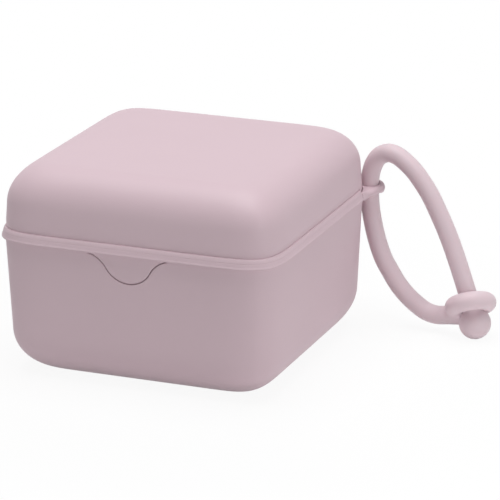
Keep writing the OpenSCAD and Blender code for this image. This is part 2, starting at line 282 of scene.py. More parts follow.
def tangent_point(start: Array, centre: Array, r: float, side: int) -> Array:
    """Point where the tangent from a point touches a circle.

    Args:
        start: The point, in the circle's plane.
        centre: Middle of the circle.
        r: Radius of the circle.
        side: 1 for the tangent counter-clockwise of the centre's way to start, else -1.

    Returns:
        The point of touch.
    """
    way = start - centre
    turn = math.atan2(way[1], way[0]) + side * math.acos(r / np.linalg.norm(way))
    return centre + r * np.array([math.cos(turn), math.sin(turn)])


@dataclass
class BoredPlate:
    """A plate with a round bore and rounded edges.

    Its outline is a closed line, counter-clockwise, all of which is seen from the
    middle of the bore. The columns of lean say how far it moves from its lower to
    its upper face, and swell is how far both faces stand out further.
    """

    outline: Array
    rounding: Array
    lean: Array
    swell: Array
    centre: Pair
    bore_r: float
    low: float
    high: float
    bore_edge: float = 0.25
    steps: int = 6

    def grid(self) -> tuple[Array, Array]:
        """Rows once round the plate's section.

        A rounding of radius r moves the outline in by r (1 - sin q) at a height
        r (1 - cos q) from the face, for q from 0 to 90 degrees. The bore's edge
        does the same outwards from the bore.

        Returns:
            Points in the plane, of shape (rows, columns, 2), and their heights.
        """
        way = np.roll(self.outline, -1, 0) - np.roll(self.outline, 1, 0)
        way /= np.linalg.norm(way, axis=1, keepdims=True)
        normal = np.stack([way[:, 1], -way[:, 0]], -1)
        out = self.outline - np.array(self.centre)
        out /= np.linalg.norm(out, axis=1, keepdims=True)
        q = np.radians(np.linspace(0, 90, self.steps + 1))[:, None]
        inset, drop = (1 - np.sin(q)) * self.rounding, (1 - np.cos(q)) * self.rounding
        rows = np.concatenate([self.high - drop, self.low + drop[::-1]])
        moved = ((rows - self.low) / (self.high - self.low))[..., None] * self.lean
        edge = self.outline - np.concatenate([inset, inset[::-1]])[..., None] * normal + moved
        reach = self.bore_r + (1 - np.sin(q)) * self.bore_edge + 0 * self.rounding
        dip = (1 - np.cos(q)) * self.bore_edge + 0 * self.rounding
        bore = np.array(self.centre) + reach[..., None] * out
        points = np.concatenate([edge, bore, bore[::-1]])
        heights = np.concatenate([rows, self.low + dip, self.high - dip[::-1]])
        middle = (self.low + self.high) / 2
        heights = middle + (heights - middle) * (1 + 2 * self.swell / (self.high - self.low))
        return points, heights

    def add_upright(self, surface: Surface) -> None:
        """Adds the plate with its bore along Z."""
        points, heights = self.grid()
        surface.add_grid(np.concatenate([points, heights[..., None]], -1), wrap_rows=True)

    def add_sideways(self, surface: Surface) -> None:
        """Adds the plate with its bore along X, and its plane as Y and Z."""
        points, heights = self.grid()
        surface.add_grid(np.concatenate([heights[..., None], points], -1), wrap_rows=True)


def even_loop(*runs: Array, step: float) -> Array:
    """Joins runs of points into a closed loop with even steps.

    Args:
        runs: Arrays of shape (n, k) whose first two values are the place.
        step: Length of a step.

    Returns:
        Array of shape (m, k).
    """
    loop = np.concatenate([*runs, runs[0][:1]])
    length = line_length(loop[:, :2])
    at = np.linspace(0, length[-1], int(length[-1] / step) + 1)[:-1]
    return np.stack([np.interp(at, length, loop[:, k]) for k in range(loop.shape[1])], -1)


def with_columns(points: Array, *columns: Array | float) -> Array:
    """Adds columns of further values to plane points."""
    return np.column_stack([points, *(np.broadcast_to(c, len(points)) for c in columns)])


def capsule(points: Array, start: Array, end: Array, r: float) -> Array:
    """Distance of points from a rod with round ends.

    It is |p - q| - r, where q is the point of the rod's axis nearest to p.

    Args:
        points: Array of shape (..., 3).
        start: One end of the axis.
        end: The other end.
        r: Radius of the rod.

    Returns:
        Distances of shape (...), negative inside.
    """
    way = end - start
    share = np.clip((points - start) @ way / (way @ way), 0, 1)[..., None]
    return np.linalg.norm(points - start - share * way, axis=-1) - r


def grown_together(a: Array, b: Array, reach: float) -> Array:
    """Distance from two forms that run into each other with a soft fillet.

    With h = 1/2 + (b - a) / (2 reach), kept within 0 and 1, it is
    b (1 - h) + a h - reach h (1 - h).

    Args:
        a: Distances from the first form.
        b: Distances from the second form.
        reach: Size of the fillet.

    Returns:
        Distances from the joined form.
    """
    h = np.clip(0.5 + 0.5 * (b - a) / reach, 0, 1)
    return b * (1 - h) + a * h - reach * h * (1 - h)


def traced(start: Array, way: Array, distance: Callable[[Array], Array], steps: int = 40) -> Array:
    """Walks from inside a form along way until its surface is reached.

    Args:
        start: Where the walk begins.
        way: Directions of shape (..., 3), one long.
        distance: Distance of points from the form's surface, negative inside.
        steps: Number of steps, each as long as the distance that is left.

    Returns:
        Points on the surface, of shape (..., 3).
    """
    points = np.array(start + 0 * way)
    for _ in range(steps):
        points -= way * distance(points)[..., None]
    return points


def round_edges(piece: bpy.types.Object, width: float) -> None:
    """Rounds the sharp edges of a piece.

    Args:
        piece: The piece.
        width: Width of the rounding, in millimetres.
    """
    bevel = piece.modifiers.new("rounding", "BEVEL")
    bevel.width = width * MM
    bevel.segments = 3
    bevel.limit_method = "ANGLE"
    bevel.angle_limit = math.radians(35)
    bevel.harden_normals = True
    bevel.use_clamp_overlap = True


def settle(piece: bpy.types.Object, body: Body, slot: Slot, finish: bpy.types.Material) -> None:
    """Gives a piece its finish and lets it ride on its body.

    Args:
        piece: The piece.
        body: The moving body that it belongs to.
        slot: The material slot of the record. It is not used.
        finish: The material that dresses it.
    """
    piece.data.materials.clear()
    piece.data.materials.append(finish)
    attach(piece, body.value)
    LOG.info("%s rides on %s", piece.name, body.value)


# ---------------------------------------------------------------- case plan


@dataclass
class CasePlan:
    """Plan of the case: straight sides joined by superellipse corners.

    A corner point is centre + reach (u, v) with u^power + v^power = 1. An inset
    shortens the reach, and an offset moves the point along the plan's normal.
    The marks are the places of the hinge notches' and the eyelet's edges.
    """

    half: float = 46.0
    corner_zone: float = 28.6
    power: float = 5.43
    corner_steps: int = 100
    side_steps: int = 10
    front_x: Array = field(default_factory=lambda: np.zeros(0))
    marks: tuple[float, ...] = (18.6, 27.4, 33.9)
    mark_step: float = 0.06

    def __post_init__(self) -> None:
        """Lays out the columns once."""
        self.straight = self.half - self.corner_zone
        unit, normal = self._unit_corner()
        parts = []
        side = np.linspace(-self.straight, self.straight, self.side_steps + 1)[1:-1]
        for turn in range(4):
            along = self.front_x if turn == 3 else side
            outwards = np.tile([1.0, 0.0], (len(along), 1))
            line = np.stack([np.full(len(along), self.straight), along], -1)
            parts.append(self._turned(turn, line, outwards, outwards))
            parts.append(self._turned(turn, np.full((len(unit), 2), self.straight), unit, normal))
        self.centre, self.spoke, self.normal = (np.concatenate([p[k] for p in parts]) for k in range(3))
        counts = np.cumsum([0] + [len(p[0]) for p in parts])
        self.front = slice(counts[6], counts[7])
        self.eyelet_corner = slice(counts[1], counts[2])
        self.wall = self.centre + self.corner_zone * self.spoke

    def _unit_corner(self) -> tuple[Array, Array]:
        """The corner u^n + v^n = 1 at even steps of length, and its normals.

        The fine curve is (cos^(2/n) a, sin^(2/n) a). The normal is the gradient
        (u^(n-1), v^(n-1)), made one long. A close pair of columns stands at each
        mark, so that the rim ends there with a clean face.

        Returns:
            Points and normals, each of shape (columns, 2).
        """
        share = np.linspace(0, 1, 6001)
        a = np.pi / 2 * (0.5 - 0.5 * np.cos(np.pi * share))
        fine = np.stack([np.cos(a) ** (2 / self.power), np.sin(a) ** (2 / self.power)], -1)
        fine[0], fine[-1] = (1, 0), (0, 1)
        length = line_length(fine)
        even = np.linspace(0, length[-1], self.corner_steps + 1)
        near = np.array([m + d for m in self.marks for d in (-self.mark_step, self.mark_step)])
        near = np.interp((near - self.straight) / self.corner_zone, fine[::-1, 0], length[::-1])
        even = np.unique(np.concatenate([even, near, length[-1] - near]))
        unit = np.stack([np.interp(even, length, fine[:, k]) for k in range(2)], -1)
        normal = unit ** (self.power - 1)
        return unit, normal / np.linalg.norm(normal, axis=1, keepdims=True)

    @staticmethod
    def _turned(turn: int, *vectors: Array) -> list[Array]:
        """Turns plan vectors by quarter turns about the middle."""
        c, s = round(math.cos(turn * math.pi / 2)), round(math.sin(turn * math.pi / 2))
        return [v @ np.array([[c, s], [-s, c]]) for v in vectors]

    def carry(self, inset: Array, offset: Array, z: Array, scale: Array) -> Array:
        """Carries a profile round the plan.

        Args:
            inset: How much the corner reach is shortened, shape (rows, 1) or (rows, columns).
            offset: How far the point moves along the normal, in the same shape.
            z: Height, in the same shape.
            scale: Share of the way out from the middle, 1 on the walls.

        Returns:
            Points of shape (rows, columns, 3).
        """
        reach = (self.corner_zone - inset)[..., None]
        plan = self.centre[None] + reach * self.spoke[None] + offset[..., None] * self.normal[None]
        plan = plan * scale[..., None]
        heights = np.broadcast_to(z, plan.shape[:2])
        return np.concatenate([plan, heights[..., None]], -1)


@dataclass
class Profile:
    """Rows of a shell's profile: inset, offset, height and scale of each."""

    rows: list[tuple[float, float, float, float]] = field(default_factory=list)

    def add(self, inset: float, z: float, scale: float = 1.0) -> None:
        """Adds one row, with no offset."""
        self.rows.append((inset, 0.0, z, scale))

    def add_floor(self, inset: float, z: float, outwards: bool) -> None:
        """Adds the rows of a flat floor.

        Args:
            inset: Inset of the floor's edge.
            z: Height of the floor.
            outwards: True where the rows run from the middle to the edge.
        """
        for share in FLOOR_SHARES if outwards else FLOOR_SHARES[::-1]:
            self.add(inset, z, share)

    def add_all(self, insets: Array, heights: Array) -> None:
        """Adds rows that lie on the wall itself."""
        for inset, z in zip(insets, heights):
            self.add(float(inset), float(z))

    def table(self) -> tuple[Array, Array, Array, Array]:
        """The four columns of the profile, each of shape (rows, 1)."""
        table = np.array(self.rows)
        return tuple(table[:, k:k + 1] for k in range(4))


def cup_curve(rim_z: float, floor_z: float, bend: float, draft: float, steps: int) -> Array:
    """Wall of a cup from its floor to its bend, as inset and height.

    The bend is an arc of radius bend about (inset_c, floor_z + bend). It meets
    the wall, which leans by draft, at the angle draft below the horizontal.

    Args:
        rim_z: Height at which the wall has no inset, measured from the floor side.
        floor_z: Height of the floor.
        bend: Radius of the arc.
        draft: Lean of the wall in degrees.
        steps: Steps along the arc.

    Returns:
        Points of shape (steps + 1, 2), inset and height.
    """
    lean = math.radians(draft)
    bend_z = floor_z + bend
    centre = (bend - math.sin(lean) * (bend_z - rim_z)) / math.cos(lean)
    a = np.radians(np.linspace(90, draft, steps + 1))
    return np.stack([centre - bend * np.cos(a), bend_z - bend * np.sin(a)], -1)


# ---------------------------------------------------------------- bell of the tab


@dataclass(frozen=True)
class Bell:
    """Bell outline of the opening tab: two hollow shoulders that run into a round end."""

    middle: float = -0.52
    width: float = 30.1
    drop: float = 9.0
    end_r: float = 8.25
    top_z: float = 44.4

    @property
    def shoulder_r(self) -> float:
        """Radius of the shoulders, so that they touch both the lip and the round end."""
        half = self.width / 2
        return (half ** 2 + self.drop ** 2) / (2 * self.drop) - self.end_r

    def height(self, x: Array, grow: float) -> Array:
        """Height of the outline at x, grown by grow on its free edge.

        With a the distance from the bell's middle it is
        zc - sqrt((end_r + grow)^2 - a^2) up to the point where the circles touch,
        and beyond it zs + sqrt((shoulder_r - grow)^2 - (width / 2 - a)^2).

        Args:
            x: Places along the front.
            grow: How far the free edge moves out.

        Returns:
            Heights in the shape of x.
        """
        half, r, s = self.width / 2, self.end_r + grow, self.shoulder_r - grow
        end_z = self.top_z - self.drop + self.end_r
        shoulder_z = self.top_z - self.shoulder_r
        touch = half * r / (r + s)
        away = np.clip(np.abs(x - self.middle), 0, half)
        low = end_z - np.sqrt(np.clip(r ** 2 - away ** 2, 0, None))
        high = shoulder_z + np.sqrt(np.clip(s ** 2 - (half - away) ** 2, 0, None))
        return np.where(away < touch, low, high)

    def stations(self, reach: float, step: float, grow: float) -> Array:
        """Places at even steps of length along the outline.

        Args:
            reach: How far they go to each side of the bell's middle.
            step: Length of a step.
            grow: How far the free edge moves out.

        Returns:
            Values of x in rising order.
        """
        x = self.middle + np.linspace(-reach, reach, 4001)
        length = line_length(np.stack([x, self.height(x, grow)], -1))
        return np.interp(np.linspace(0, length[-1], int(length[-1] / step) + 1), length, x)


def outline_normals(outline: Array) -> Array:
    """Normals of an outline that runs towards +X, on its lower side."""
    way = unit_way(outline)
    return np.stack([way[:, 1], -way[:, 0]], -1)


# ---------------------------------------------------------------- base


@dataclass
class FrontWall:
    """The leaning front wall of the base, on which the tab lies."""

    half_depth: float = 46.0
    rim_z: float = 44.2
    draft: float = 2.4

    @property
    def lean(self) -> float:
        """How far the wall moves in per length down."""
        return math.tan(math.radians(self.draft))

    def inset(self, z: Array) -> Array:
        """How far the wall has moved in at the heights z."""
        return (self.rim_z - z) * self.lean

    def place(self, x: Array, z: Array, depth: Array) -> Array:
        """Points at x and z that lie depth behind the wall's face.

        y is depth - (half_depth - (rim_z - z) tan draft).

        Args:
            x: Places along the wall.
            z: Heights.
            depth: Depths behind the face.

        Returns:
            Points of shape (..., 3).
        """
        y = depth - (self.half_depth - self.inset(z))
        return np.stack(np.broadcast_arrays(x, y, z), -1)


@dataclass(frozen=True)
class BellPlate:
    """A plate with the bell's outline, along the front wall.

    The outline grows by grow. The plate's faces lie at the depths near and far
    behind the wall's face, and it reaches out to both sides of the bell's middle.
    """

    bell: Bell
    wall: FrontWall
    grow: float
    near: float
    far: float
    top_z: float
    edge_r: float
    reach: float
    step: float = 0.3
    edge_steps: int = 4
    face_steps: int = 6

    def build(self, name: str) -> bpy.types.Object:
        """Makes the plate.

        Its rows run from the top of the front face down to the outline, round the
        edge in two quarter circles, and up the back face to the top again. A row
        of the edge lies r (1 - sin a) inside the outline and r (1 - cos a) behind
        the front face, and the other way round towards the back face.

        Args:
            name: Name of the piece.

        Returns:
            The new object.
        """
        x = self.bell.stations(self.reach, self.step, self.grow)
        outline = np.stack([x, self.bell.height(x, self.grow)], -1)
        a = np.radians(np.linspace(0, 90, self.edge_steps + 1))
        sine, cosine = self.edge_r * (1 - np.sin(a)), self.edge_r * (1 - np.cos(a))
        inward = np.concatenate([sine, cosine])[:, None, None]
        depth = np.concatenate([self.near + cosine, self.far - sine])
        edge = outline - inward * outline_normals(outline)
        top = np.stack([x, np.full(len(x), self.top_z)], -1)
        share = np.linspace(0, 1, self.face_steps + 1)[:, None, None]
        front = top + (edge[0] - top) * share[:-1]
        back = edge[-1] + (top - edge[-1]) * share[1:]
        rows = np.concatenate([front, edge, back])
        depth = np.concatenate([
            np.full(len(front), self.near), depth, np.full(len(back), self.far),
        ])[:, None]
        surface = Surface()
        grid = self.wall.place(rows[..., 0], rows[..., 1], depth)
        index = surface.add_grid(grid, wrap_rows=True, wrap_cols=False)
        surface.add_cap(index[:, 0])
        surface.add_cap(index[:, -1], flip=True)
        return surface.build(name)


@dataclass
class BaseShell:
    """Lower shell with the root of its eyelet and the recess of the tab.

    Above straight_z the rows of the front follow the recess. The recess has
    tab_gap round the tab and groove_room behind it, and a plate closes its back.
    The root is the swelling of the wall that carries the eyelet.
    """

    plan: CasePlan
    bell: Bell
    wall: FrontWall = field(default_factory=FrontWall)
    thickness: float = 1.8
    bend: float = 14.3
    edge_r: float = 0.35
    tab_gap: float = 0.22
    tab_t: float = 0.95
    groove_room: float = 0.12
    recess_back: float = 1.2
    recess_reach: float = 15.4
    recess_edge_r: float = 0.2
    recess_drop: float = 0.05
    straight_z: float = 24.0
    follow: float = 1.2
    wall_rows: tuple[float, ...] = (16, 12, 9, 6, 4, 2.5)
    edge_rows: tuple[float, ...] = (0.8, 0.55)
    top_rows: tuple[float, ...] = (0.7, 1.1)
    eyelet_at: Pair = (45.076, 45.076)
    root_bore_r: float = 3.3
    root_out: float = 1.1
    root_h: float = 1.7
    root_from: float = 34.9
    root_start: float = 1.5
    root_depth: float = 0.7
    dip_ease: float = 2.0

    def build(self, finish: bpy.types.Material) -> None:
        """Makes and dresses the lower shell and the back of the recess.

        Args:
            finish: Material of both.
        """
        shell = self.shell()
        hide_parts("base_shell")
        settle(shell, Body.BASE, Slot.BASE, finish)
        near = self.tab_t + self.groove_room
        back = BellPlate(
            self.bell, self.wall, grow=self.tab_gap + self.recess_back, near=near,
            far=near + self.recess_back, top_z=self.wall.rim_z - self.recess_drop,
            edge_r=self.recess_edge_r, reach=self.recess_reach,
        )
        settle(back.build("tab_recess_back"), Body.BASE, Slot.BASE, finish)

    def _edge_rows(self) -> tuple[Array, Array]:
        """Rows up the outer wall, over the rounded top edge and down the inner wall.

        An edge row lies r (1 - sin a) below the outline and r (1 - cos a) behind the
        face, and the other way round on the inner side.

        Returns:
            Distance below the edge's outline and depth behind the face, per row.
        """
        high = self.wall.rim_z - self.straight_z
        down = np.array([high, *self.wall_rows, self.follow, *self.edge_rows])
        a = np.radians(np.linspace(0, 90, 6))
        sine, cosine = self.edge_r * (1 - np.sin(a)), self.edge_r * (1 - np.cos(a))
        flat = np.array(self.top_rows)
        below = np.concatenate([down, sine, 0 * flat, cosine, down[::-1]])
        depth = np.concatenate([0 * down, cosine, flat, self.thickness - sine, 0 * down + self.thickness])
        return below, depth

    def _root(self, below: Array, depth: Array) -> Array:
        """How far the root of the eyelet stands out from the wall, per row and column.

        It ends where the normal of the wall meets the circle of the cord's bore.

        Args:
            below: Distance of each row below the edge.
            depth: Depth of each row behind the face.

        Returns:
            Offsets of shape (rows, columns).
        """
        to_bore = np.array(self.eyelet_at) - self.plan.wall
        along = np.einsum("ij,ij->i", to_bore, self.plan.normal)
        rest = along ** 2 - (np.einsum("ij,ij->i", to_bore, to_bore) - self.root_bore_r ** 2)
        room = np.where(rest > 0, along - np.sqrt(np.clip(rest, 0, None)), self.root_out)
        start = smooth((self.plan.wall.min(1) - self.root_from) / self.root_start)
        reach = start * np.clip(room, 0, self.root_out)
        fade = (1 - smooth(below / self.root_h)) * (1 - np.clip(depth / self.root_depth, 0, 1))
        return fade[:, None] * reach[None]

    def _edge_grid(self) -> Array:
        """The upper wall and top edge, dipping round the recess of the tab.

        On the front, a row at the distance d below the edge's outline lies
        min(d, follow) along the outline's normal from it. Further down it eases
        into level rows at straight_z.

        Returns:
            Points of shape (rows, columns, 3).
        """
        below, depth = self._edge_rows()
        inset = depth[:, None] + below[:, None] * self.wall.lean
        z = self.wall.rim_z - below[:, None]
        grid = self.plan.carry(inset, self._root(below, depth), z, np.ones_like(z))
        x = self.plan.centre[self.plan.front, 0]
        dip = np.minimum(self.bell.height(x, self.tab_gap), self.wall.rim_z)
        ease = smooth((np.abs(x - self.bell.middle) - self.bell.width / 2) / self.dip_ease + 1)
        outline = np.stack([x, dip + (self.wall.rim_z - dip) * ease], -1)
        normal = outline_normals(outline)
        near = np.minimum(below, self.follow)[:, None, None]
        moved = outline[None] + near * normal[None]
        far = np.clip((below - self.follow) / (below.max() - self.follow), 0, 1)[:, None, None]
        straight = np.stack([x, np.full(len(x), self.straight_z)], -1)[None]
        moved = moved + (straight - moved) * far
        grid[:, self.plan.front] = self.wall.place(moved[..., 0], moved[..., 1], depth[:, None])
        return grid

    def shell(self) -> bpy.types.Object:
        """The closed lower shell, from the middle of its underside to the middle of its floor.

        Returns:
            The new object.
        """
        outer, inner = Profile(), Profile()
        curve = cup_curve(self.wall.rim_z, 0, self.bend, self.wall.draft, 22)
        outer.add_floor(curve[0, 0], 0, outwards=True)
        outer.add_all(curve[:, 0], curve[:, 1])
        z = np.linspace(curve[-1, 1], self.straight_z, 5)[1:-1]
        outer.add_all(self.wall.inset(z), z)
        bend = self.bend - self.thickness
        curve = cup_curve(self.wall.rim_z, self.thickness, bend, self.wall.draft, 16)
        curve[:, 0] += self.thickness
        z = np.linspace(self.straight_z, curve[-1, 1], 5)[1:-1]
        inner.add_all(self.wall.inset(z) + self.thickness, z)
        inner.add_all(curve[::-1, 0], curve[::-1, 1])
        inner.add_floor(curve[0, 0], self.thickness, outwards=False)
        grid = np.concatenate([
            self.plan.carry(*outer.table()), self._edge_grid(), self.plan.carry(*inner.table()),
        ])
        surface = Surface()
        surface.add_closed(grid, np.zeros(3), np.array([0, 0, self.thickness]))
        return surface.build("base_shell_skin")


# ---------------------------------------------------------------- lid


@dataclass
class LidShell:
    """Lid with its rim, its skirt and the opening tab.

    Over the crease the wall is a little hollow. Below it, a run of the rim is its
    length and the tilt of its face, in degrees, at its start and its end: together
    they make the bead, the strip and the lip. The rim is left out over the hinge
    arms and at the eyelet, and the skirt is left out behind the tab.
    """

    plan: CasePlan
    bell: Bell
    low_z: float = 44.4
    top_z: float = 67.25
    thickness: float = 1.8
    bend: float = 12.3
    draft: float = 3.04
    crease_z: float = 47.62
    hollow: float = 0.3
    hollow_h: float = 2.4
    rim_runs: tuple[tuple[float, float, float], ...] = (
        (0.42, 82, 82), (0.3, 82, 34), (0.45, 34, 30), (0.8, 30, 9), (1.1, 16, 15), (0.32, 42, 26),
        (0.26, 8, 4), (0.5, 4, -88),
    )
    rim_lines: tuple[float, ...] = (1.97,)
    rim_step: float = 0.065
    line_depth: float = 0.06
    line_width: float = 0.07
    rim_drop: float = 0.04
    tab_draft: float = 4.0
    tab_t: float = 0.95
    tab_root: float = 0.3
    tab_edge_r: float = 0.25
    tab_reach: float = 14.3
    skirt_low_z: float = 41.2
    skirt_gap: float = 0.45
    skirt_t: float = 1.4
    skirt_open: float = 16.9
    hinge_x: float = 23.0
    notch_half: float = 4.4
    eyelet_from: float = 33.9

    def build(self, finish: bpy.types.Material) -> None:
        """Makes and dresses the lid's shell and the opening tab.

        Args:
            finish: Material of both.
        """
        shell = self.shell()
        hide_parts("lid_shell")
        settle(shell, Body.LID, Slot.LID, finish)
        tab = BellPlate(
            self.bell, FrontWall(draft=self.tab_draft), grow=0.0, near=0.0, far=self.tab_t,
            top_z=self.low_z + self.tab_root, edge_r=self.tab_edge_r, reach=self.tab_reach,
        )
        settle(tab.build("opening_tab"), Body.LID, Slot.LID, finish)

    def _band_width(self) -> Array:
        """Share of the rim's width: none at the hinge arms and the eyelet.

        Returns:
            A value for each column.
        """
        x, y = self.plan.wall.T
        at_arm = (y > self.plan.corner_zone) & (np.abs(np.abs(x) - self.hinge_x) < self.notch_half)
        at_eyelet = np.minimum(x, y) > self.eyelet_from
        return np.where(at_arm | at_eyelet, 0.0, 1.0)

    def _wall_inset(self, z: float) -> float:
        """Inset of the lid's outer wall at a height."""
        return (z - self.low_z) * math.tan(math.radians(self.draft))

    def _outer(self) -> Profile:
        """Top, bend and outer wall, down to the rim.

        Returns:
            The profile, from the middle of the top.
        """
        profile = Profile()
        curve = cup_curve(self.top_z - self.low_z, 0, self.bend, self.draft, 26)
        profile.add_floor(curve[0, 0], self.top_z, outwards=True)
        profile.add_all(curve[:, 0], self.top_z - curve[:, 1])
        for z in np.linspace(self.top_z - curve[-1, 1], self.crease_z + self.hollow_h, 3)[1:-1]:
            profile.add(self._wall_inset(z), z)
        return profile

    def _rim(self) -> Array:
        """Rows from the wall above the rim down to its lower edge, as offset and height.

        Above the crease the wall is hollow by hollow (1 - h / hollow_h)^2, where h
        is the height over the crease. From there on the rim is laid in runs of
        length l along which its face tilts from one angle t above the horizontal to
        another: a step ds goes (sin t, -cos t) ds. A fine line is cut into it at
        each of rim_lines, as deep as a bell curve.

        Returns:
            Array of shape (rows, 2).
        """
        h = self.hollow_h * np.linspace(1, 0, 8) ** 1.5
        wall = -np.array([self._wall_inset(self.crease_z + x) for x in h])
        above = np.stack([wall - self.hollow * (1 - h / self.hollow_h) ** 2, self.crease_z + h], -1)
        ends = np.cumsum([0] + [run[0] for run in self.rim_runs])
        at = np.arange(0, ends[-1], self.rim_step) + self.rim_step / 2
        run = np.clip(np.searchsorted(ends, at) - 1, 0, len(self.rim_runs) - 1)
        length, first, last = np.array(self.rim_runs, float)[run].T
        tilt = np.radians(first + (last - first) * (at - ends[run]) / length)
        rim = above[-1] + self.rim_step * np.cumsum(np.stack([np.sin(tilt), -np.cos(tilt)], -1), 0)
        for line in self.rim_lines:
            away = (at + self.rim_step / 2 - line) / self.line_width
            cut = self.line_depth * np.exp(-away ** 2)[:, None]
            rim -= cut * np.stack([np.cos(tilt), np.sin(tilt)], -1)
        rim[:, 1] = np.maximum(rim[:, 1], self.low_z - self.rim_drop)
        return np.concatenate([above, rim])

    def _inner(self) -> Profile:
        """Underside, skirt, ledge, inner wall and ceiling.

        Returns:
            The profile, down to the middle of the ceiling.
        """
        out = self.thickness + self.skirt_gap
        inn = out + self.skirt_t
        rim, low = self.low_z, self.skirt_low_z
        underside = [(-0.4, rim), (0.1, rim), (1.2, rim), (out - 0.1, rim), (out, rim - 0.1)]
        outside = [
            (out, 43.4), (out, 42.4), (out, low + 0.5), (out + 0.1, low + 0.22), (out + 0.3, low + 0.03),
        ]
        lower_edge = [(out + 0.5, low), (inn - 0.35, low), (inn - 0.1, low + 0.1), (inn, low + 0.35)]
        inside = [(inn, 42.6), (inn, 44.0), (inn, 45.6), (inn - 0.12, 46.3), (inn - 0.5, 46.9)]
        ledge = [(2.6, 47.8), (2.25, 48.4)]
        profile = Profile()
        for inset, z in underside + outside + lower_edge + inside + ledge:
            profile.add(inset, z)
        for z in (49.4, 52.0, 54.0):
            profile.add(self.thickness + self._wall_inset(z), z)
        height, bend = self.top_z - self.low_z, self.bend - self.thickness
        curve = cup_curve(height, self.thickness, bend, self.draft, 18)
        curve[:, 0] += self.thickness
        profile.add_all(curve[::-1, 0], self.top_z - curve[::-1, 1])
        profile.add_floor(curve[0, 0], self.top_z - self.thickness, outwards=False)
        return profile

    def shell(self) -> bpy.types.Object:
        """The closed lid, from the middle of its top to the middle of its ceiling.

        Returns:
            The new object.
        """
        width = self._band_width()[None]
        rim = self._rim()
        flush = -np.array([[self._wall_inset(z)] for z in rim[:, 1]])
        offset = rim[:, :1] * width + flush * (1 - width)
        ones = np.ones_like(offset)
        band = self.plan.carry(0 * ones, offset, rim[:, 1:], ones)
        inner = self.plan.carry(*self._inner().table())
        # The skirt is left out behind the tab
        front = inner[:, self.plan.front]
        floor = np.where(np.abs(front[..., 0]) < self.skirt_open, self.low_z, self.skirt_low_z)
        front[..., 2] = np.maximum(front[..., 2], floor)
        grid = np.concatenate([self.plan.carry(*self._outer().table()), band, inner])
        surface = Surface()
        poles = np.array([[0, 0, self.top_z], [0, 0, self.top_z - self.thickness]])
        surface.add_closed(grid, *poles)
        return surface.build("lid_shell_skin")


# ---------------------------------------------------------------- eyelet and hinges


@dataclass
class Eyelet:
    """Loop at the back right corner of the base, which carries the strap.

    Its web has thin edges at the rim, which soften towards the loop, and the
    loop swells to a knob on its far side.
    """

    plan: CasePlan
    centre: Pair = (45.076, 45.076)
    outer_r: float = 4.9
    bore_r: float = 3.14
    low_z: float = 44.2
    high_z: float = 46.75
    web_from: float = 34.0
    web_out: float = 1.12
    web_lean: float = 0.62
    knob_swell: float = 0.6
    wall_gap: float = 0.12
    soft_r: float = 1.35
    thin_r: float = 0.08
    soften: float = 3.0
    upright: float = 1.6
    swell_from: float = 0.35
    step: float = 0.18

    def outline(self) -> Array:
        """Outline of the eyelet with the rounding and the lean of each point.

        It runs from the flat end of the web, which meets the lid's rim, along the
        web's side, round the loop, along the far side, and back beside the lid's
        wall. The web leans like the rim, and the lean fades towards the loop.

        Returns:
            Array of shape (n, 6): x, y, rounding, lean in x and y, and swell.
        """
        middle, half = np.array(self.centre), self.plan.half
        corner = self.plan.eyelet_corner
        beside = self.plan.wall[corner] + self.wall_gap * self.plan.normal[corner]
        beside = beside[beside.min(1) > self.web_from][::-1]
        side = np.array([half + self.web_out, self.web_from])
        touch = tangent_point(side, middle, self.outer_r, 1)
        share = np.linspace(0, 1, 12)
        line = side + (touch - side) * share[:, None]
        line_r = self.thin_r + (self.soft_r - self.thin_r) * smooth(share * self.soften)
        lean = -self.web_lean * (1 - smooth(share * self.upright))
        start = degrees_of(touch - middle)
        loop = arc(self.centre, self.outer_r, start, 90 - start, 40)
        out = (loop - middle).sum(1) / (math.sqrt(2) * self.outer_r)
        swell = self.knob_swell * smooth((out - self.swell_from) / (1 - self.swell_from))
        inner_end = np.array([[half + self.wall_gap, self.web_from]])
        runs = [
            with_columns(inner_end, self.thin_r, 0, 0, 0),
            with_columns(line, line_r, lean, 0, 0),
            with_columns(loop, self.soft_r, 0, 0, swell),
            with_columns(line[::-1, ::-1], line_r[::-1], 0, lean[::-1], 0),
            with_columns(inner_end[:, ::-1], self.thin_r, 0, 0, 0),
            with_columns(beside, self.thin_r, 0, 0, 0),
        ]
        return even_loop(*runs, step=self.step)

    def build(self, finish: bpy.types.Material) -> None:
        """Makes and dresses the eyelet.

        Args:
            finish: Its material.
        """
        outline = self.outline()
        plate = BoredPlate(
            outline[:, :2], outline[:, 2], outline[:, 3:5], outline[:, 5], self.centre, self.bore_r,
            self.low_z, self.high_z,
        )
        surface = Surface()
        plate.add_upright(surface)
        settle(surface.build("strap_eyelet"), Body.BASE, Slot.BASE, finish)


